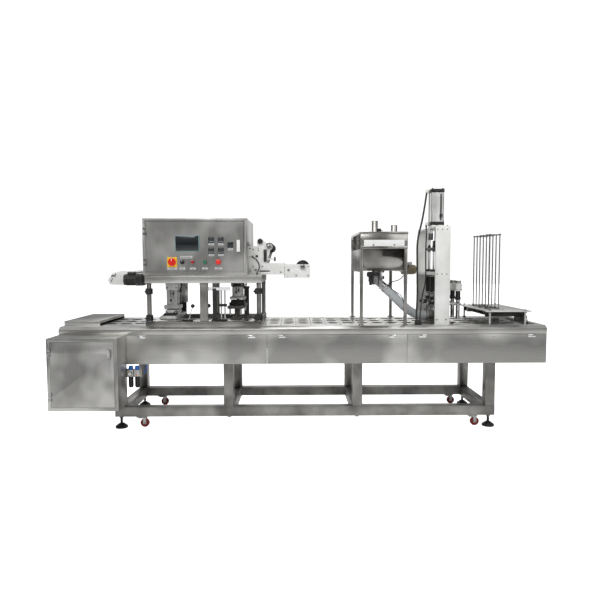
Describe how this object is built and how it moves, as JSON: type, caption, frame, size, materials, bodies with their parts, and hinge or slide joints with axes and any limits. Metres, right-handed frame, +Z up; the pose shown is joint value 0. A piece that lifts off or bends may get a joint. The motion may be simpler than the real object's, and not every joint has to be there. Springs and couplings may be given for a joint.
{
  "type": "cup sealing machine",
  "caption": "Long stainless in-line machine that drops, fills and heat-seals plastic cups in three lanes on punched carrier plates.",
  "frame": {"origin": "on the floor under the middle of the whole machine", "axes": "+X towards the cup magazine, -Y towards the operator, +Z up"},
  "size_m": [4, 1.107, 1.992],
  "materials": {
    "painted_frame": "brushed stainless",
    "stainless_sheet": "brushed stainless",
    "anodised_plate": "clear anodised",
    "machined_steel": "turned",
    "black_plastic": "moulded",
    "motor_paint": "enamelled",
    "caster_tyre": "moulded",
    "instrument_face": "moulded",
    "white_plastic": "moulded",
    "red_plastic": "moulded",
    "green_plastic": "moulded",
    "black_film": "glossy film",
    "roller_rubber": "ground",
    "clear_hose": "ribbed"
  },
  "bodies": {
    "machine": {"base_frame": "painted_frame", "upper_frame": "painted_frame", "levelling_feet": "black_plastic", "front_panels": "stainless_sheet", "rear_panels": "stainless_sheet", "panel_latches": "machined_steel", "deck_rails": "stainless_sheet", "discharge_cover": "stainless_sheet", "cabinet_shell": "stainless_sheet", "control_gear": "black_plastic", "door_hinges": "machined_steel", "operator_box": "stainless_sheet", "station_frame": "stainless_sheet", "post_clamps": "black_plastic", "air_cylinders": "anodised_plate", "film_plates": "anodised_plate", "gearmotors": "motor_paint", "bearing_blocks": "machined_steel", "tower_frame": "anodised_plate", "dosing_units": "machined_steel", "hopper_tank": "stainless_sheet", "hopper_legs": "stainless_sheet", "outlet_valve": "machined_steel", "product_hose": "clear_hose", "dispenser_table": "stainless_sheet", "magazine_rods": "stainless_sheet", "air_prep_unit": "black_plastic"},
    "caster_1": {"caster_fork_1": "machined_steel"},
    "wheel_1": {"caster_wheel_1": "caster_tyre"},
    "caster_2": {"caster_fork_2": "machined_steel"},
    "wheel_2": {"caster_wheel_2": "caster_tyre"},
    "caster_3": {"caster_fork_3": "machined_steel"},
    "wheel_3": {"caster_wheel_3": "caster_tyre"},
    "caster_4": {"caster_fork_4": "machined_steel"},
    "wheel_4": {"caster_wheel_4": "caster_tyre"},
    "cabinet_door": {"cabinet_door": "stainless_sheet"},
    "cabinet_latch": {"cabinet_latch": "machined_steel"},
    "operator_door": {"operator_door": "stainless_sheet", "door_instruments": "instrument_face"},
    "operator_latch": {"operator_latch": "white_plastic"},
    "main_switch_knob": {"main_switch_knob": "red_plastic"},
    "selector_switch": {"selector_switch": "black_plastic"},
    "red_button": {"red_button": "red_plastic"},
    "green_button": {"green_button": "green_plastic"},
    "emergency_button": {"emergency_button": "red_plastic"},
    "carrier_plates": {"carrier_plates": "anodised_plate"},
    "return_plates": {"return_plates": "anodised_plate"},
    "drive_shaft": {"drive_shaft": "machined_steel"},
    "tail_shaft": {"tail_shaft": "machined_steel"},
    "seal_press": {"seal_press": "anodised_plate"},
    "cut_press": {"cut_press": "anodised_plate"},
    "film_roll": {"film_roll": "black_film"},
    "feed_roller": {"feed_roller": "roller_rubber"},
    "waste_reel": {"waste_reel": "black_plastic"},
    "dosing_pistons": {"dosing_pistons": "anodised_plate"},
    "hopper_lid": {"hopper_lid": "stainless_sheet"},
    "agitator": {"agitator": "stainless_sheet"},
    "valve_handle": {"valve_handle": "black_plastic"},
    "cup_separator": {"cup_separator": "machined_steel"}
  },
  "joints": [
    {"name": "caster_1_swivel", "type": "hinge", "parent": "machine", "child": "caster_1", "pos_m": [-1.35, -0.2425, 0.09], "axis": [0, 0, 1], "continuous": true},
    {"name": "wheel_1_spin", "type": "hinge", "parent": "caster_1", "child": "wheel_1", "pos_m": [-1.326, -0.2425, 0.04], "axis": [0, 1, 0], "continuous": true},
    {"name": "caster_2_swivel", "type": "hinge", "parent": "machine", "child": "caster_2", "pos_m": [-1.35, 0.4795, 0.09], "axis": [0, 0, 1], "continuous": true},
    {"name": "wheel_2_spin", "type": "hinge", "parent": "caster_2", "child": "wheel_2", "pos_m": [-1.326, 0.4795, 0.04], "axis": [0, 1, 0], "continuous": true},
    {"name": "caster_3_swivel", "type": "hinge", "parent": "machine", "child": "caster_3", "pos_m": [1.408, -0.2425, 0.09], "axis": [0, 0, 1], "continuous": true},
    {"name": "wheel_3_spin", "type": "hinge", "parent": "caster_3", "child": "wheel_3", "pos_m": [1.432, -0.2425, 0.04], "axis": [0, 1, 0], "continuous": true},
    {"name": "caster_4_swivel", "type": "hinge", "parent": "machine", "child": "caster_4", "pos_m": [1.408, 0.4795, 0.09], "axis": [0, 0, 1], "continuous": true},
    {"name": "wheel_4_spin", "type": "hinge", "parent": "caster_4", "child": "wheel_4", "pos_m": [1.432, 0.4795, 0.04], "axis": [0, 1, 0], "continuous": true},
    {"name": "cabinet_door_hinge", "type": "hinge", "parent": "machine", "child": "cabinet_door", "pos_m": [-1.973, -0.5425, 0.5], "axis": [0, 0, -1], "range_deg": [0, 110]},
    {"name": "cabinet_latch_turn", "type": "hinge", "parent": "cabinet_door", "child": "cabinet_latch", "pos_m": [-1.514, -0.5365, 0.666], "axis": [0, 1, 0], "range_deg": [0, 90]},
    {"name": "operator_door_hinge", "type": "hinge", "parent": "machine", "child": "operator_door", "pos_m": [-1.279, -0.2875, 1.5], "axis": [0, 0, -1], "range_deg": [0, 110]},
    {"name": "operator_latch_turn", "type": "hinge", "parent": "operator_door", "child": "operator_latch", "pos_m": [-0.527, -0.2815, 1.506], "axis": [0, 1, 0], "range_deg": [0, 90]},
    {"name": "main_switch_turn", "type": "hinge", "parent": "operator_door", "child": "main_switch_knob", "pos_m": [-1.068, -0.2815, 1.376], "axis": [0, 1, 0], "range_deg": [0, 90]},
    {"name": "selector_turn", "type": "hinge", "parent": "operator_door", "child": "selector_switch", "pos_m": [-0.985, -0.2815, 1.376], "axis": [0, 1, 0], "range_deg": [-45, 45]},
    {"name": "red_button_press", "type": "slide", "parent": "operator_door", "child": "red_button", "axis": [0, 1, 0], "range_m": [0, 0.004], "stiffness_N_per_m": 500},
    {"name": "green_button_press", "type": "slide", "parent": "operator_door", "child": "green_button", "axis": [0, 1, 0], "range_m": [0, 0.004], "stiffness_N_per_m": 500},
    {"name": "emergency_press", "type": "slide", "parent": "operator_door", "child": "emergency_button", "axis": [0, 1, 0], "range_m": [0, 0.004]},
    {"name": "carrier_advance", "type": "slide", "parent": "machine", "child": "carrier_plates", "axis": [-1, 0, 0], "range_m": [0, 0.127]},
    {"name": "return_advance", "type": "slide", "parent": "machine", "child": "return_plates", "axis": [1, 0, 0], "range_m": [0, 0.127]},
    {"name": "drive_shaft_turn", "type": "hinge", "parent": "machine", "child": "drive_shaft", "pos_m": [-1.85, 0.1185, 0.755], "axis": [0, -1, 0], "range_deg": [0, 90.1]},
    {"name": "tail_shaft_turn", "type": "hinge", "parent": "machine", "child": "tail_shaft", "pos_m": [1.85, 0.1185, 0.755], "axis": [0, -1, 0], "range_deg": [0, 90.1]},
    {"name": "seal_stroke", "type": "slide", "parent": "machine", "child": "seal_press", "axis": [0, 0, -1], "range_m": [0, 0.025]},
    {"name": "cut_stroke", "type": "slide", "parent": "machine", "child": "cut_press", "axis": [0, 0, -1], "range_m": [0, 0.025]},
    {"name": "film_roll_turn", "type": "hinge", "parent": "machine", "child": "film_roll", "pos_m": [-0.004, 0.1185, 1.333], "axis": [0, 1, 0], "continuous": true},
    {"name": "feed_roller_turn", "type": "hinge", "parent": "machine", "child": "feed_roller", "pos_m": [-0.284, 0.1185, 1.5], "axis": [0, 1, 0], "continuous": true},
    {"name": "waste_reel_turn", "type": "hinge", "parent": "machine", "child": "waste_reel", "pos_m": [-1.352, 0.1185, 1.231], "axis": [0, 1, 0], "continuous": true},
    {"name": "dosing_stroke", "type": "slide", "parent": "machine", "child": "dosing_pistons", "axis": [0, 0, 1], "range_m": [0, 0.06]},
    {"name": "lid_hinge", "type": "hinge", "parent": "machine", "child": "hopper_lid", "pos_m": [0.658, 0.4485, 1.6055], "axis": [-1, 0, 0], "range_deg": [0, 80]},
    {"name": "agitator_turn", "type": "hinge", "parent": "machine", "child": "agitator", "pos_m": [0.658, 0.1185, 1.342], "axis": [1, 0, 0], "continuous": true},
    {"name": "valve_turn", "type": "hinge", "parent": "machine", "child": "valve_handle", "pos_m": [0.629, -0.1215, 1.269], "axis": [0, -1, 0], "range_deg": [0, 90]},
    {"name": "separator_shift", "type": "slide", "parent": "machine", "child": "cup_separator", "axis": [-1, 0, 0], "range_m": [0, 0.008]}
  ],
  "couplings": [
    {"joint": "return_advance", "follows": "carrier_advance", "ratio": 1},
    {"joint": "drive_shaft_turn", "follows": "carrier_advance", "rad_per_m": 12.368},
    {"joint": "tail_shaft_turn", "follows": "carrier_advance", "rad_per_m": 12.368},
    {"joint": "feed_roller_turn", "follows": "film_roll_turn", "ratio": 1.5263},
    {"joint": "waste_reel_turn", "follows": "film_roll_turn", "ratio": 1.8125}
  ]
}
